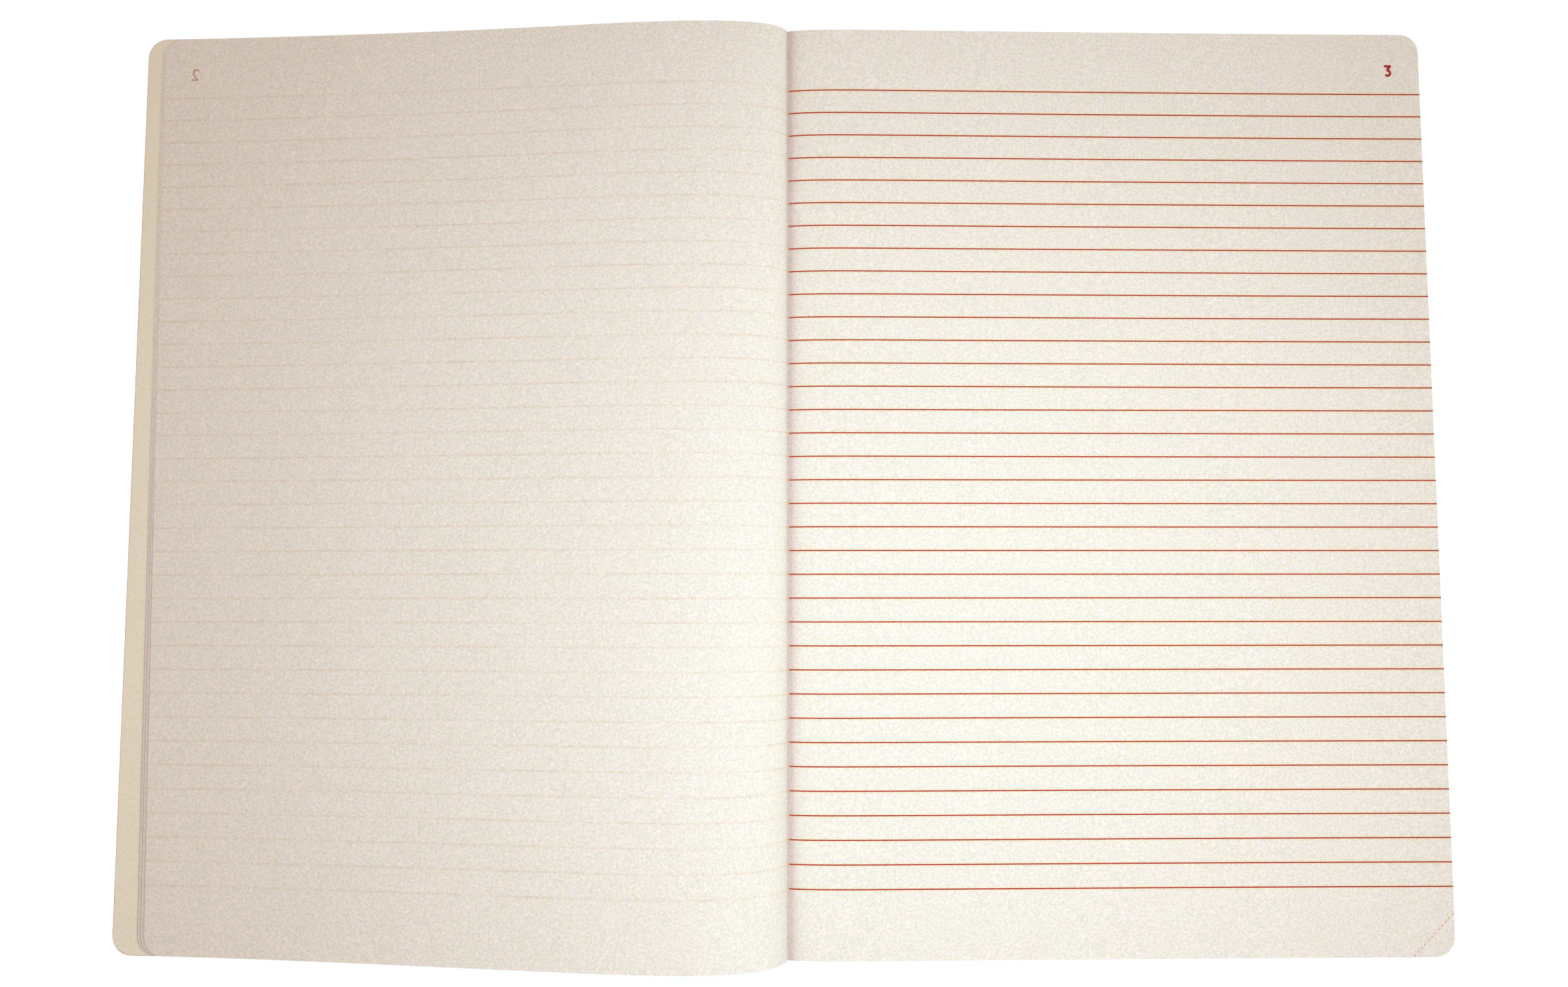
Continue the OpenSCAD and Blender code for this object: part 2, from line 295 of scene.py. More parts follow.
class TurnedPath:
    """Way of the turned leaves' upper face across the page at one height, v from 0 at the tail to 1.

    The path leans a little more or less than the tables say, so that it lands on the sloping cover.
    """

    STEPS = 420
    LANDINGS = 4

    def __init__(self, sizes, v):
        self.sizes = sizes
        self.v = v
        self.lean = 0
        self.total = sizes.page_width + (sizes.turned_leaves - 1) * sizes.fan_tail
        for _ in range(self.LANDINGS):
            self.walk()
            self.lean -= math.degrees((self.points[-1][1] - self.landing(self.points[-1][0])) / self.total)
        self.walk()

    def slope(self, s):
        """Slope in radians at distance s from the fold."""
        share = s / self.sizes.page_width
        return math.radians(
            lookup(share, TAIL_BEND) * (1 - self.v) + lookup(share, HEAD_BEND) * self.v + self.lean
        )

    def walk(self):
        """Steps along the slopes from the fold to the fore edge."""
        step = self.total / self.STEPS
        x, z = -ROOT_START, page_height(self.sizes, 0) + ROOT_START
        self.points = [(x, z)]
        for i in range(self.STEPS):
            angle = self.slope((i + 0.5) * step)
            x, z = x - step * math.cos(angle), z + step * math.sin(angle)
            self.points.append((x, z))

    def landing(self, x):
        """Height at which the upper face meets its fore edge, over the sloping cover."""
        slope = cover_slope()
        leaves = self.sizes.turned_leaves * self.sizes.leaf_spacing
        above = self.sizes.cover_thickness + self.sizes.endpaper_thickness + self.sizes.turned_gap + leaves
        return hinge.z + (x - hinge.x) * math.tan(slope) + above / math.cos(slope)

    def point(self, s, depth):
        """Place (x, z) at distance s from the fold and depth below the upper face."""
        place = min(max(s / self.total, 0), 1) * self.STEPS
        i = min(int(place), self.STEPS - 1)
        (x0, z0), (x1, z1) = self.points[i], self.points[i + 1]
        angle = self.slope(s)
        return (
            x0 + (x1 - x0) * (place - i) - depth * math.sin(angle),
            z0 + (z1 - z0) * (place - i) - depth * math.cos(angle),
        )

    def distance_at(self, x):
        """Distance from the fold at which the path passes x."""
        for i, (x1, _) in enumerate(self.points):
            if x1 <= x:
                x0 = self.points[i - 1][0]
                return (i - 1 + (x0 - x) / (x0 - x1)) * self.total / self.STEPS
        raise ValueError("the path ends before x")


def corner_inset(sizes, y):
    """How far the rounded corner pulls the fore edge in at height y."""
    past = max(0, abs(y) - (page_half - sizes.corner_radius))
    return sizes.corner_radius - math.sqrt(max(0, sizes.corner_radius ** 2 - past ** 2))


def page_rows(sizes, middle, corner):
    """Heights of the rows up a leaf, spread along the arcs at its corners."""
    straight = page_half - sizes.corner_radius
    arc = [straight + sizes.corner_radius * math.sin(math.pi / 2 * i / corner) for i in range(1, corner + 1)]
    inner = [straight * (2 * i / middle - 1) for i in range(middle + 1)]
    return [-y for y in reversed(arc)] + inner + arc


# Modelling

def unit_grid(name, columns, rows):
    """A flat grid from (0, 0) to (1, 1) as the active object."""
    bpy.ops.object.select_all(action="DESELECT")
    bpy.ops.mesh.primitive_grid_add(x_subdivisions=columns, y_subdivisions=rows, size=1)
    piece = bpy.context.active_object
    piece.name = piece.data.name = name
    shape(piece, lambda co: (co.x + 0.5, co.y + 0.5, 0))
    return piece


def shape(piece, place):
    """Moves every vertex of a piece to where place() puts it."""
    for vertex in piece.data.vertices:
        vertex.co = place(vertex.co.copy())
    piece.data.update()


def modify(piece, kind, **settings):
    """Adds a modifier and applies it."""
    modifier = piece.modifiers.new(kind.title(), kind)
    for key, value in settings.items():
        setattr(modifier, key, value)
    bpy.context.view_layer.objects.active = piece
    bpy.ops.object.modifier_apply(modifier=modifier.name)


def smooth(piece, degrees=40):
    """Smooth shading, with edges sharper than the angle kept."""
    bpy.ops.object.select_all(action="DESELECT")
    piece.select_set(True)
    bpy.context.view_layer.objects.active = piece
    bpy.ops.object.shade_smooth_by_angle(angle=math.radians(degrees))


def dress(piece, *materials):
    """Gives a piece these materials in its slots."""
    piece.data.materials.clear()
    for material in materials:
        piece.data.materials.append(material)


# Materials

WHITE = (1, 1, 1)
# Settings that many nodes share: two colours mixed, two colours multiplied, and a smooth ramp.
# Inputs 0, 6 and 7 of a mix are its share and its two colours. Inputs 0 to 4 of a ramp are its value,
# the range it comes from and the range it goes to. A ramp of vectors has its ranges in inputs 7 to 10.
BLEND = {"data_type": "RGBA", "output": 2}
TINT = {"data_type": "RGBA", "blend_type": "MULTIPLY", "output": 2}
RAMP = {"interpolation_type": "SMOOTHSTEP"}


def add_node(tree, kind, inputs=None, output=0, **settings):
    """Adds a node and returns one of its outputs. An input is a value, or another node's output to link."""
    node = tree.nodes.new("ShaderNode" + kind)
    for name, value in settings.items():
        setattr(node, name, value)
    for key, value in (inputs or {}).items():
        socket = node.inputs[key]
        if isinstance(value, bpy.types.NodeSocket):
            tree.links.new(value, socket)
        else:
            socket.default_value = (*value, 1) if socket.type == "RGBA" else value
    return node.outputs[output] if node.outputs else None


def new_material(name, roughness, specular=0.25, sheen=0):
    """A material with its shader and the object's own coordinates: (material, tree, shader, coordinates)."""
    material = bpy.data.materials.new(name)
    material.use_nodes = True
    tree = material.node_tree
    shader = tree.nodes["Principled BSDF"]
    shader.inputs["Roughness"].default_value = roughness
    shader.inputs["Specular IOR Level"].default_value = specular
    shader.inputs["Sheen Weight"].default_value = sheen
    return material, tree, shader, add_node(tree, "TexCoord", output="Object")


def finish(tree, shader, colour_output, height=None, depth=0):
    """Gives a shader its colour and, from a height pattern, a relief that is depth metres deep."""
    tree.links.new(colour_output, shader.inputs["Base Color"])
    if height is not None:
        relief = add_node(tree, "Bump", {"Height": height, "Distance": depth, "Strength": 1})
        tree.links.new(relief, shader.inputs["Normal"])


def paper_grain(tree, place, ground, speckle, colours):
    """A paper's colour with soft clouds and a slightly coloured speckle: (colour, speckle height).

    The specks are 0.7 mm across, coarser than real fibres, so that they show.
    """
    clouds = add_node(
        tree, "TexNoise", {"Vector": place, "Scale": 1 / (9 * MM), "Detail": 3, "Roughness": 0.5}
    )
    specks = add_node(
        tree, "TexNoise", {"Vector": place, "Scale": 1 / (0.7 * MM), "Detail": 2, "Roughness": 0.7}
    )
    low, high = (0.3, 0.3, 0.3), (0.7, 0.7, 0.7)
    coloured = add_node(
        tree, "MapRange", {"Vector": specks.node.outputs["Color"], 7: low, 8: high, 9: speckle, 10: WHITE},
        output="Vector", data_type="FLOAT_VECTOR",
    )
    fleck = add_node(tree, "MapRange", {0: specks, 1: 0.3, 2: 0.7}, **RAMP)
    grey = add_node(tree, "Mix", {0: fleck, 6: speckle, 7: WHITE}, **BLEND)
    shade = add_node(tree, "Mix", {0: 1, 6: coloured, 7: grey}, **TINT)
    cloud = add_node(tree, "MapRange", {0: clouds, 1: 0.35, 2: 0.65, 3: 0, 4: 0.02}, **RAMP)
    cloudy = add_node(tree, "Mix", {0: cloud, 6: ground, 7: colours.cloud}, **TINT)
    return add_node(tree, "Mix", {0: 1, 6: cloudy, 7: shade}, **TINT), specks


def painted_edge_shadow(tree, place, ground, colours):
    """Painted shade in a thin line along a leaf's fore edge, where the fanned leaves shade each other,
    plainest towards the tail.
    """
    near = add_node(tree, "Attribute", output="Fac", attribute_name="fore_edge")
    beside = add_node(tree, "MapRange", {0: near, 1: 1 - 0.35 * MM, 2: 1 - 0.1 * MM, 3: 0, 4: 0.75}, **RAMP)
    up = add_node(tree, "SeparateXYZ", {0: place}, output="Y")
    at_tail = add_node(tree, "MapRange", {0: up, 1: -50 * MM, 2: 90 * MM, 3: 1, 4: 0.1}, **RAMP)
    line = add_node(tree, "Math", {0: beside, 1: at_tail}, operation="MULTIPLY")
    return add_node(tree, "Mix", {0: line, 6: ground, 7: colours.edge_shade}, **BLEND)


def ruling(tree, place, sizes, near, far):
    """How close a point is to a ruled line: 1 up to near metres from its middle, 0 from far metres on."""
    first = lines_high.y - sizes.rule_width / 2
    last = lines_low.y + sizes.rule_width / 2
    up = add_node(tree, "SeparateXYZ", {0: place}, output="Y")
    from_first = add_node(tree, "Math", {0: up, 1: first}, operation="SUBTRACT")
    away = add_node(tree, "Math", {0: from_first, 1: sizes.rule_pitch / 2}, operation="PINGPONG")
    on_line = add_node(tree, "MapRange", {0: away, 1: near, 2: far, 3: 1, 4: 0}, **RAMP)
    below_first = add_node(tree, "Math", {0: up, 1: first + MM}, operation="LESS_THAN")
    above_last = add_node(tree, "Math", {0: up, 1: last - MM}, operation="GREATER_THAN")
    inside = add_node(tree, "Math", {0: below_first, 1: above_last}, operation="MULTIPLY")
    return add_node(tree, "Math", {0: on_line, 1: inside}, operation="MULTIPLY")


def white_paper(colours, sizes):
    """Carbonless copy paper: a white coated sheet, matt and finely speckled.

    It has painted shade on the right page beside the gutter, and is warmer beside the ruled lines, into
    which their ink has spread.
    """
    if "carbonless_paper_white" in bpy.data.materials:
        return bpy.data.materials["carbonless_paper_white"]
    material, tree, shader, place = new_material("carbonless_paper_white", 0.75)
    grain, specks = paper_grain(tree, place, colours.paper, colours.speckle, colours)
    edge_shadowed = painted_edge_shadow(tree, place, grain, colours)

    # Painted shade beside the gutter: full from 0.5 mm left of the fold to 1.2 mm right of it, then fading
    # over about 1.6 mm
    across = add_node(tree, "SeparateXYZ", {0: place}, output="X")
    right_side = add_node(tree, "Math", {0: across, 1: -0.5 * MM}, operation="GREATER_THAN")
    past_fold = add_node(tree, "Math", {0: across, 1: 1.2 * MM}, operation="SUBTRACT")
    beside = add_node(tree, "Math", {0: past_fold, 1: 0}, operation="MAXIMUM")
    depth = add_node(tree, "Math", {0: beside, 1: -1.6 * MM}, operation="DIVIDE")
    fading = add_node(tree, "Math", {0: depth}, operation="EXPONENT")
    in_gutter_shade = add_node(tree, "Math", {0: fading, 1: right_side}, operation="MULTIPLY")
    gutter_shade = add_node(tree, "Mix", {0: in_gutter_shade, 6: WHITE, 7: colours.gutter_shade}, **BLEND)
    gutter_shaded = add_node(tree, "Mix", {0: 1, 6: edge_shadowed, 7: gutter_shade}, **TINT)

    near_rule = ruling(tree, place, sizes, 0.2 * MM, 1.1 * MM)
    in_halo = add_node(tree, "Math", {0: near_rule, 1: right_side}, operation="MULTIPLY")
    halo = add_node(tree, "Mix", {0: in_halo, 6: WHITE, 7: colours.ink_halo}, **BLEND)
    warmed = add_node(tree, "Mix", {0: 1, 6: gutter_shaded, 7: halo}, **TINT)
    finish(tree, shader, warmed, specks, 0.015 * MM)
    return material


def printed_through_paper(colours, sizes):
    """Back of a ruled leaf: the same paper, with the ruling of its other side showing through in patches."""
    material, tree, shader, place = new_material("carbonless_paper_back", 0.75)
    on_line = ruling(tree, place, sizes, 0.15 * MM, 0.5 * MM)
    patches = add_node(
        tree, "TexNoise", {"Vector": place, "Scale": 1 / (24 * MM), "Detail": 2, "Roughness": 0.5}
    )
    patch = add_node(tree, "MapRange", {0: patches, 1: 0.3, 2: 0.7, 3: 0.15, 4: 0.4}, **RAMP)
    faint = add_node(tree, "Math", {0: patch, 1: on_line}, operation="MULTIPLY")
    ground = add_node(tree, "Mix", {0: faint, 6: colours.paper, 7: colours.show_through}, **BLEND)
    grain, specks = paper_grain(tree, place, ground, colours.speckle, colours)
    finish(tree, shader, painted_edge_shadow(tree, place, grain, colours), specks, 0.015 * MM)
    return material


def cut_edges(name, ground, sheet_shade):
    """Guillotined edges of many sheets: fine streaks along the sheets, with painted shade between them."""
    material, tree, shader, place = new_material(name, 0.85, specular=0.2)
    stack = add_node(tree, "Attribute", output="Fac", attribute_name="stack")
    axes = add_node(tree, "SeparateXYZ", {0: place}).node.outputs
    # The pattern is stretched along the sheets: 33 mm by a hundredth of the stack's height
    along = add_node(tree, "Math", {0: axes["X"], 1: 30}, operation="MULTIPLY")
    across = add_node(tree, "Math", {0: axes["Y"], 1: 30}, operation="MULTIPLY")
    layer = add_node(tree, "Math", {0: stack, 1: 100}, operation="MULTIPLY")
    sheets = add_node(tree, "CombineXYZ", {0: along, 1: across, 2: layer})
    streaks = add_node(tree, "TexNoise", {"Vector": sheets, "Scale": 1, "Detail": 2})
    # Painted shade between the sheets where the streaks are dark
    dark = add_node(tree, "MapRange", {0: streaks, 1: 0.35, 2: 0.65, 3: 0.35, 4: 0}, **RAMP)
    shade = add_node(tree, "Mix", {0: dark, 6: ground, 7: sheet_shade}, **TINT)
    finish(tree, shader, shade, streaks, 0.05 * MM)
    return material


def endpaper_stock(colours):
    """Pale yellow wood-free paper pasted inside the covers, slightly rougher than the leaves."""
    material, tree, shader, place = new_material("endpaper_pale_yellow", 0.8)
    grain, specks = paper_grain(tree, place, colours.endpaper, colours.endpaper_speckle, colours)
    finish(tree, shader, grain, specks, 0.02 * MM)
    return material


def ink(name, ground, paper, coverage):
    """Offset ink soaked into paper: matt, a little uneven, with paper showing in places."""
    material, tree, shader, place = new_material(name, 0.7, specular=0.3)
    gaps = add_node(
        tree, "TexNoise", {"Vector": place, "Scale": 1 / (0.6 * MM), "Detail": 2, "Roughness": 0.6}
    )
    bare = add_node(tree, "MapRange", {0: gaps, 1: 0.3, 2: 0.7, 3: 0, 4: 1 - coverage}, **RAMP)
    finish(tree, shader, add_node(tree, "Mix", {0: bare, 6: ground, 7: paper}, **BLEND))
    return material


def cut_shade_marks(colours):
    """Painted shade of the cuts along a perforation: a warm matt tint, broken up by the paper."""
    material, tree, shader, place = new_material("perforation_cut_shade", 0.9, specular=0.2)
    gaps = add_node(
        tree, "TexNoise", {"Vector": place, "Scale": 1 / (0.5 * MM), "Detail": 2, "Roughness": 0.5}
    )
    bare = add_node(tree, "MapRange", {0: gaps, 1: 0.3, 2: 0.7, 3: 0, 4: 0.5}, **RAMP)
    finish(tree, shader, add_node(tree, "Mix", {0: bare, 6: colours.cut, 7: colours.paper}, **BLEND))
    return material


def cover_card(colours):
    """Dyed and calendered card: a fine pressed grain, with the edges rubbed paler in places."""
    material, tree, shader, place = new_material("card_dark_red", 0.6, specular=0.25)
    axes = add_node(tree, "SeparateXYZ", {0: place}).node.outputs
    from_gutter = add_node(tree, "Math", {0: axes["X"]}, operation="ABSOLUTE")
    from_middle = add_node(tree, "Math", {0: axes["Y"]}, operation="ABSOLUTE")
    from_head = add_node(tree, "Math", {0: cover_high.y, 1: from_middle}, operation="SUBTRACT")
    from_fore = add_node(tree, "Math", {0: -cover_low.x, 1: from_gutter}, operation="SUBTRACT")
    from_edge = add_node(tree, "Math", {0: from_head, 1: from_fore}, operation="MINIMUM")
    at_edge = add_node(tree, "MapRange", {0: from_edge, 1: 0.3 * MM, 2: 1.2 * MM, 3: 1, 4: 0}, **RAMP)
    rubs = add_node(
        tree, "TexNoise", {"Vector": place, "Scale": 1 / (5 * MM), "Detail": 4, "Roughness": 0.7}
    )
    rubbed = add_node(tree, "MapRange", {0: rubs, 1: 0.25, 2: 0.5}, **RAMP)
    worn = add_node(tree, "Math", {0: at_edge, 1: rubbed}, operation="MULTIPLY")

    grain = add_node(
        tree, "TexNoise", {"Vector": place, "Scale": 1 / (0.9 * MM), "Detail": 4, "Roughness": 0.6}
    )
    pressed = add_node(tree, "MapRange", {0: grain, 1: 0.3, 2: 0.7, 3: 0, 4: 0.35}, **RAMP)
    ground = add_node(tree, "Mix", {0: pressed, 6: colours.card, 7: colours.card_grain}, **BLEND)
    rubbed_card = add_node(tree, "Mix", {0: worn, 6: ground, 7: colours.card_worn}, **BLEND)
    finish(tree, shader, rubbed_card, grain, 0.05 * MM)
    return material


def woven(name, ground, dark, thread, roughness):
    """Plain-woven cloth: threads over and under each other along the page and across it.

    The threads are drawn coarser than real ones, so that the weave shows.
    """
    material, tree, shader, place = new_material(name, roughness, specular=0.3, sheen=0.15)
    axes = add_node(tree, "SeparateXYZ", {0: place}).node.outputs
    across = add_node(tree, "Math", {0: axes["X"], 1: axes["Z"]}, operation="ADD")
    turn = math.pi / thread
    warp_turn = add_node(tree, "Math", {0: axes["Y"], 1: turn}, operation="MULTIPLY")
    weft_turn = add_node(tree, "Math", {0: across, 1: turn}, operation="MULTIPLY")
    warp = add_node(tree, "Math", {0: warp_turn}, operation="SINE")
    weft = add_node(tree, "Math", {0: weft_turn}, operation="SINE")
    crossing = add_node(tree, "Math", {0: warp, 1: weft}, operation="MULTIPLY")
    weave = add_node(tree, "MapRange", {0: crossing, 1: -1, 2: 1}, **RAMP)
    cloth = add_node(tree, "Mix", {0: weave, 6: dark, 7: ground}, **BLEND)
    slubs = add_node(
        tree, "TexNoise", {"Vector": place, "Scale": 1 / (3 * MM), "Detail": 3, "Roughness": 0.5}
    )
    slub = add_node(tree, "MapRange", {0: slubs, 1: 0.3, 2: 0.7, 3: 0, 4: 0.2}, **RAMP)
    finish(tree, shader, add_node(tree, "Mix", {0: slub, 6: cloth, 7: dark}, **BLEND), weave, 0.08 * MM)
    return material


def pale_floor(stage):
    """Plain pale studio floor, white to the camera, with a soft shadow and a piece below it seen faintly."""
    material = bpy.data.materials.new("studio_floor_pale")
    material.use_nodes = True
    tree = material.node_tree
    tree.nodes.clear()
    rays = add_node(tree, "LightPath").node.outputs
    seen = add_node(tree, "Math", {0: rays["Is Camera Ray"], 1: rays["Is Glossy Ray"]}, operation="ADD")
    seen = add_node(tree, "Math", {0: seen, 1: rays["Is Transmission Ray"]}, operation="ADD")
    share = add_node(tree, "Math", {0: seen, 1: stage.floor_white}, operation="MULTIPLY")

    # The floor glows less where the softbox already lights it, so that it looks white all over
    place = add_node(tree, "TexCoord", output="Object")
    below_key = (*stage.key_place[:2], 0)
    away = add_node(tree, "VectorMath", {0: place, 1: below_key}, output="Value", operation="DISTANCE")
    ratio = add_node(tree, "Math", {0: away, 1: stage.glow_reach}, operation="DIVIDE")
    squared = add_node(tree, "Math", {0: ratio, 1: ratio}, operation="MULTIPLY")
    fall = add_node(tree, "Math", {0: squared, 1: -1}, operation="MULTIPLY")
    lit = add_node(tree, "Math", {0: fall}, operation="EXPONENT")
    dip = add_node(tree, "Math", {0: lit, 1: stage.glow_dip}, operation="MULTIPLY")
    glow = add_node(tree, "Math", {0: stage.floor_glow, 1: dip}, operation="SUBTRACT")

    matt = add_node(tree, "BsdfDiffuse", {"Color": stage.floor_colour})
    clear = add_node(tree, "BsdfTransparent")
    white = add_node(tree, "Emission", {"Color": WHITE, "Strength": glow})
    bright = add_node(tree, "AddShader", {0: clear, 1: white})
    mixed = add_node(tree, "MixShader", {0: share, 1: matt, 2: bright})
    add_node(tree, "OutputMaterial", {"Surface": mixed})
    return material


# Operators

class BOOK_OT_leaf_block(bpy.types.Operator):
    """Build the unturned leaves with stepped edges and the tear-off corner"""

    bl_idname = "book.leaf_block"
    bl_label = "Leaf Block"

    def execute(self, context):
        sizes, colours = context.scene.book_sizes, context.scene.book_colours
        radius = sizes.corner_radius
        straight, rounding = 40, 8
        stations = [fold_x, fold_x + FLAT_RUN, FOOT_X]
        stations += [(reach - radius) * (i / straight) ** PAGE_CROWD for i in range(straight + 1)]
        stations += [
            reach - radius + radius * math.sin(math.pi / 2 * i / rounding) for i in range(1, rounding + 1)
        ]
        last = len(stations) - 1
        piece = unit_grid("leaf_block", last, 1)

        def outline(co):
            x = stations[round(co.x * last)]
            past = max(0, x - (reach - radius))
            inset = radius - math.sqrt(max(0, radius ** 2 - past ** 2))
            return x, (2 * co.y - 1) * (page_half - inset), 0

        shape(piece, outline)
        bpy.ops.object.mode_set(mode="EDIT")
        bpy.ops.mesh.select_all(action="SELECT")
        bpy.ops.mesh.bisect(
            plane_co=(reach - sizes.tear_width, -page_half, 0),
            plane_no=Vector((sizes.tear_height, -sizes.tear_width, 0)).normalized(),
        )
        bpy.ops.mesh.select_all(action="SELECT")
        # The block is one unit high while its steps are made. A ledge takes a twenty-fifth of a step.
        steps = sizes.edge_steps
        ledge = 0.04 / steps
        draw = random.Random(5)
        middle = (fold_x + reach) / 2
        half_width = (reach - fold_x) / 2
        inset = 0
        for i in range(steps):
            new_inset = 0 if i in (0, steps - 1) else draw.uniform(0, sizes.edge_ragged)
            if i:
                bpy.ops.mesh.extrude_region_move(TRANSFORM_OT_translate={"value": (0, 0, ledge)})
            bpy.ops.transform.resize(
                value=(
                    (half_width - new_inset) / (half_width - inset),
                    (page_half - new_inset) / (page_half - inset), 1,
                ),
                center_override=(middle, 0, 0),
            )
            inset = new_inset
            rise = 1 / steps if i == 0 else 1 / steps - ledge
            bpy.ops.mesh.extrude_region_move(TRANSFORM_OT_translate={"value": (0, 0, rise)})
        bpy.ops.mesh.select_all(action="SELECT")
        bpy.ops.mesh.normals_make_consistent(inside=False)
        bpy.ops.object.mode_set(mode="OBJECT")

        mesh = piece.data
        stack = mesh.attributes.new("stack", "FLOAT", "POINT")
        stack.data.foreach_set("value", [v.co.z for v in mesh.vertices])
        for face in mesh.polygons:
            share = sum(mesh.vertices[v].co.z for v in face.vertices) / len(face.vertices)
            top = share > 1 - 0.2 / steps
            face.material_index = 0 if top else 1 + int(share * steps) % 2
        tip = radius * (1 - math.cos(math.pi / 4))
        deepest = beyond_tear(sizes, reach - tip, -page_half + tip)

        def place(co):
            drop = sizes.tear_drop * max(0, beyond_tear(sizes, co.x, co.y)) / deepest
            top = page_height(sizes, co.x) - drop
            return co.x, co.y, base_z + (top - base_z) * min(co.z, 1)

        shape(piece, place)
        smooth(piece)
        dress(
            piece, white_paper(colours, sizes),
            cut_edges("leaf_edges_white", colours.edge_white, colours.sheet_shade),
            cut_edges("leaf_edges_tinted", colours.edge_tint, colours.sheet_shade),
        )
        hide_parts("page_block")
        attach(piece, "pages")
        return {"FINISHED"}


class BOOK_OT_turned_leaves(bpy.types.Operator):
    """Build the leaves that are turned to the left, with their roots in the gutter"""

    bl_idname = "book.turned_leaves"
    bl_label = "Turned Leaves"

    def execute(self, context):
        sizes, colours = context.scene.book_sizes, context.scene.book_colours
        split_x = hinge.x - sizes.root_end
        rows = page_rows(sizes, middle=44, corner=8)
        paths = [TurnedPath(sizes, y / (2 * page_half) + 0.5) for y in rows]
        splits = [path.distance_at(split_x) for path in paths]
        plain = white_paper(colours, sizes)
        back = printed_through_paper(colours, sizes)
        # The turned leaves' rims take the painted edge shade
        edge = cut_edges("turned_leaf_edge_shade", colours.edge_shade, colours.sheet_shade)
        for leaf in range(sizes.turned_leaves):
            for part, columns in (("sheet", 110), ("root", 16)):
                piece = unit_grid(f"turned_{part}_{leaf + 1}", columns, len(rows) - 1)

                def place(co, part=part, leaf=leaf):
                    row = round(co.y * (len(rows) - 1))
                    path, y = paths[row], rows[row]
                    fan = sizes.fan_tail + (sizes.fan_head - sizes.fan_tail) * path.v
                    end = sizes.page_width - corner_inset(sizes, y) + leaf * fan
                    start, stop = (splits[row], end) if part == "sheet" else (0, splits[row])
                    s = start + (stop - start) * (1 - co.x) ** (LEAF_CROWD if part == "sheet" else 1)
                    near_edge = max(0, 5 * s / sizes.page_width - 4) ** 2
                    lift = sizes.leaf_lift * (sizes.turned_leaves - 1 - leaf) * near_edge * (1 - path.v)
                    x, z = path.point(s, sizes.skin + leaf * sizes.leaf_spacing - lift)
                    return x, y, z

                mesh = piece.data
                across = [1 - (1 - v.co.x) ** LEAF_CROWD for v in mesh.vertices]
                shape(piece, place)
                if part == "sheet":
                    fore_edge = mesh.attributes.new("fore_edge", "FLOAT", "POINT")
                    fore_edge.data.foreach_set("value", [1 - sizes.page_width * share for share in across])
                modify(
                    piece, "SOLIDIFY", thickness=sizes.leaf_thickness, offset=-1, material_offset_rim=1
                )
                smooth(piece)
                dress(piece, back if leaf == 0 else plain, edge)
                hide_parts("turned_leaves")
                if part == "sheet":
                    press_flat(piece)
                else:
                    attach(piece, "pages")
                    page_height(sizes, 0)
                    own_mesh(piece)
        return {"FINISHED"}


def cover_slope():
    """Slope of the open front cover in radians, from its hinge down to the table."""
    return math.atan(hinge.z / (hinge.x - cover_low.x))


def press_flat(piece):
    """Makes a piece ride on the front cover."""
    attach(piece, "front")
    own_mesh(piece)


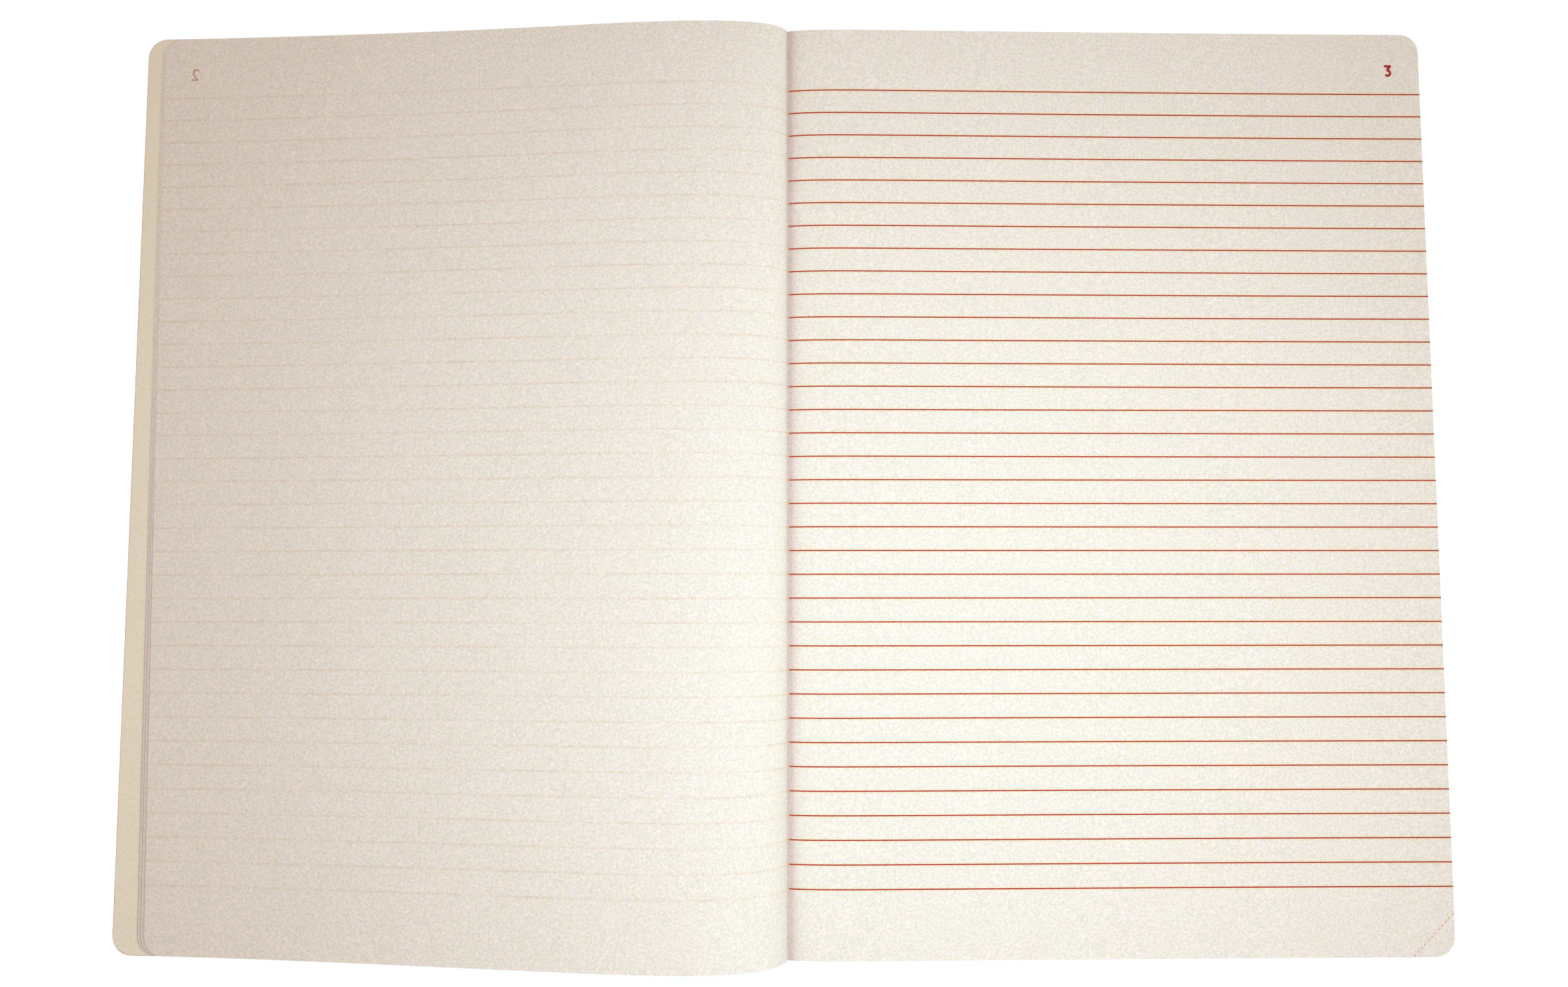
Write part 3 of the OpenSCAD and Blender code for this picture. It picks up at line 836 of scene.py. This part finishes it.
class BOOK_OT_print(bpy.types.Operator):
    """Ink the ruled lines and the number, and add the print that shows through and the perforation"""

    bl_idname = "book.print"
    bl_label = "Print and Perforation"

    def execute(self, context):
        sizes, colours = context.scene.book_sizes, context.scene.book_colours
        rules = ink("rule_ink_brown_red", colours.rule_ink, colours.paper, coverage=0.98)
        number = ink("number_ink_dark_red", colours.number_ink, colours.paper, coverage=0.97)
        dress(frame["nodes"]["ruled_lines"], rules)
        dress(frame["nodes"]["page_number"], number)
        self.show_through_number(sizes, colours)
        self.perforation(sizes, colours)
        return {"FINISHED"}

    def show_through_number(self, sizes, colours):
        """The number 2 of the turned leaf's other side, seen mirrored and faintly through the paper."""
        bpy.ops.object.select_all(action="DESELECT")
        bpy.ops.object.text_add()
        piece = bpy.context.active_object
        piece.name = "show_through_number"
        piece.data.body = "2"
        piece.data.resolution_u = 6
        bpy.ops.object.convert(target="MESH")
        mesh = piece.data
        low = Vector((min(v.co.x for v in mesh.vertices), min(v.co.y for v in mesh.vertices), 0))
        high = Vector((max(v.co.x for v in mesh.vertices), max(v.co.y for v in mesh.vertices), 0))
        scale = sizes.number_height / (high.y - low.y)
        side = reach - number_high.x
        base = number_low.y
        path = TurnedPath(sizes, (base + sizes.number_height / 2) / (2 * page_half) + 0.5)

        def place(co):
            s = sizes.page_width - side - (high.x - low.x) * scale + (co.x - low.x) * scale
            x, z = path.point(s, -sizes.print_lift)
            return x, base + (co.y - low.y) * scale, z

        shape(piece, place)
        bpy.ops.object.mode_set(mode="EDIT")
        bpy.ops.mesh.select_all(action="SELECT")
        bpy.ops.mesh.flip_normals()
        bpy.ops.object.mode_set(mode="OBJECT")
        modify(piece, "SOLIDIFY", thickness=sizes.print_lift, offset=-1)
        dress(piece, ink("show_through_print", colours.show_through_ink, colours.paper, coverage=0.85))
        press_flat(piece)

    def perforation(self, sizes, colours):
        """Short cuts in a slanting row, each drawn as a thin raised mark in painted shade, joined into one
        piece.
        """
        run = Vector((sizes.tear_width, sizes.tear_height, 0))
        start = Vector((reach - sizes.tear_width, -page_half, 0))
        turn = Matrix.Rotation(math.atan2(run.y, run.x), 3, "Z")
        count = int(run.length / sizes.slit_pitch)

        bpy.ops.object.select_all(action="DESELECT")
        bpy.ops.mesh.primitive_cube_add(size=1)
        cut = bpy.context.active_object
        bpy.ops.object.mode_set(mode="EDIT")
        bpy.ops.mesh.select_all(action="SELECT")
        bpy.ops.transform.resize(value=(sizes.slit_length, sizes.slit_width, sizes.slit_height))
        bpy.ops.mesh.bevel(offset=0.4 * sizes.slit_height, segments=1, affect="EDGES")
        bpy.ops.object.mode_set(mode="OBJECT")
        cuts = [cut]
        for _ in range(count - 1):
            copy = cut.copy()
            copy.data = cut.data.copy()
            bpy.context.collection.objects.link(copy)
            cuts.append(copy)

        for i, piece in enumerate(cuts):
            middle = start + run * ((i + 0.5) / count)

            def place(co, middle=middle):
                spot = middle + turn @ co
                height = page_height(sizes, min(spot.x, reach)) + co.z - sizes.slit_sink
                return spot.x, spot.y, height

            shape(piece, place)
            piece.select_set(True)
        bpy.context.view_layer.objects.active = cut
        bpy.ops.object.join()
        cut.name = cut.data.name = "corner_perforation_shade"
        dress(cut, cut_shade_marks(colours))
        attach(cut, "pages")


class BOOK_OT_binding(bpy.types.Operator):
    """Finish the covers, the endpapers, the cloth tape, the gauze and the thread"""

    bl_idname = "book.binding"
    bl_label = "Binding"

    def execute(self, context):
        colours = context.scene.book_colours
        finishes = {
            "front_cover back_cover": cover_card(colours),
            "front_endpaper back_endpaper": endpaper_stock(colours),
            "spine_tape front_tape_lap back_tape_lap": woven(
                "book_cloth_dark", colours.tape, colours.tape_shade, thread=0.5 * MM, roughness=0.7
            ),
            "spine_lining": woven(
                "gauze_and_glue", colours.gauze, colours.gauze_shade, thread=0.9 * MM, roughness=0.6
            ),
            "sewing_thread": woven(
                "linen_thread", colours.thread, colours.thread_shade, thread=0.3 * MM, roughness=0.8
            ),
        }
        for names, material in finishes.items():
            for name in names.split():
                dress(frame["nodes"][name], material)
        return {"FINISHED"}


class BOOK_OT_stage(bpy.types.Operator):
    """Set up the floor, the softbox, the light from all round and the camera"""

    bl_idname = "book.stage"
    bl_label = "Stage"

    def execute(self, context):
        stage = context.scene.book_stage
        scene = context.scene
        bpy.ops.object.select_all(action="DESELECT")
        bpy.ops.mesh.primitive_plane_add(size=stage.floor_size, location=(0, 0, -stage.floor_gap))
        floor = context.active_object
        floor.name = "floor"
        dress(floor, pale_floor(stage))

        bpy.ops.object.light_add(type="AREA", location=stage.key_place)
        key = context.active_object
        key.name = "softbox"
        key.data.energy = stage.key_power
        key.data.shape = "SQUARE"
        key.data.size = stage.key_size
        key.data.spread = stage.key_spread
        key.data.color = stage.key_colour
        key.visible_camera = False

        bpy.ops.object.light_add(type="SUN", rotation=(0, stage.side_slope, 0))
        side = context.active_object
        side.name = "side_light"
        side.data.energy = stage.side
        side.data.color = stage.side_colour
        side.data.angle = stage.side_spread

        world = bpy.data.worlds.new("studio")
        scene.world = world
        world.use_nodes = True
        tree = world.node_tree
        tree.nodes.clear()
        seen = add_node(tree, "LightPath", output="Is Camera Ray")
        fill = add_node(tree, "Background", {"Color": stage.fill_colour, "Strength": stage.fill})
        white = add_node(tree, "Background", {"Color": WHITE, "Strength": 1})
        mixed = add_node(tree, "MixShader", {0: seen, 1: fill, 2: white})
        add_node(tree, "OutputWorld", {"Surface": mixed})

        bpy.ops.object.camera_add()
        camera = context.active_object
        camera.name = "camera"
        camera.data.sensor_width = 36
        camera.data.lens = stage.lens
        camera.data.clip_start = 0.01
        camera.data.clip_end = 50
        camera.rotation_mode = "ZYX"
        camera.rotation_euler = (stage.tilt, stage.pan, 0)
        camera.location = stage.camera_place
        scene.camera = camera
        scene.view_settings.view_transform = "Standard"
        return {"FINISHED"}


class BOOK_PT_panel(bpy.types.Panel):
    """Lists the sizes, the colours and the operators"""

    bl_idname = "BOOK_PT_panel"
    bl_label = "Duplicate Book"
    bl_space_type = "VIEW_3D"
    bl_region_type = "UI"
    bl_category = "Book"

    def draw(self, context):
        for group in (context.scene.book_sizes, context.scene.book_colours, context.scene.book_stage):
            box = self.layout.box()
            for name in group.__annotations__:
                box.prop(group, name)
        for operator in OPERATORS:
            self.layout.operator(operator.bl_idname)


GROUPS = {"book_sizes": BookSizes, "book_colours": BookColours, "book_stage": BookStage}
OPERATORS = (BOOK_OT_stage, BOOK_OT_leaf_block, BOOK_OT_turned_leaves, BOOK_OT_print, BOOK_OT_binding)


def register():
    for cls in (*GROUPS.values(), *OPERATORS, BOOK_PT_panel):
        bpy.utils.register_class(cls)
    for name, group in GROUPS.items():
        setattr(bpy.types.Scene, name, PointerProperty(type=group))


def unregister():
    for name in GROUPS:
        delattr(bpy.types.Scene, name)
    for cls in (BOOK_PT_panel, *reversed(OPERATORS), *reversed(GROUPS.values())):
        bpy.utils.unregister_class(cls)


def main():
    register()
    bpy.ops.book.stage()
    bpy.ops.book.leaf_block()
    bpy.ops.book.turned_leaves()
    bpy.ops.book.print()
    bpy.ops.book.binding()


if __name__ == "__main__":
    main()
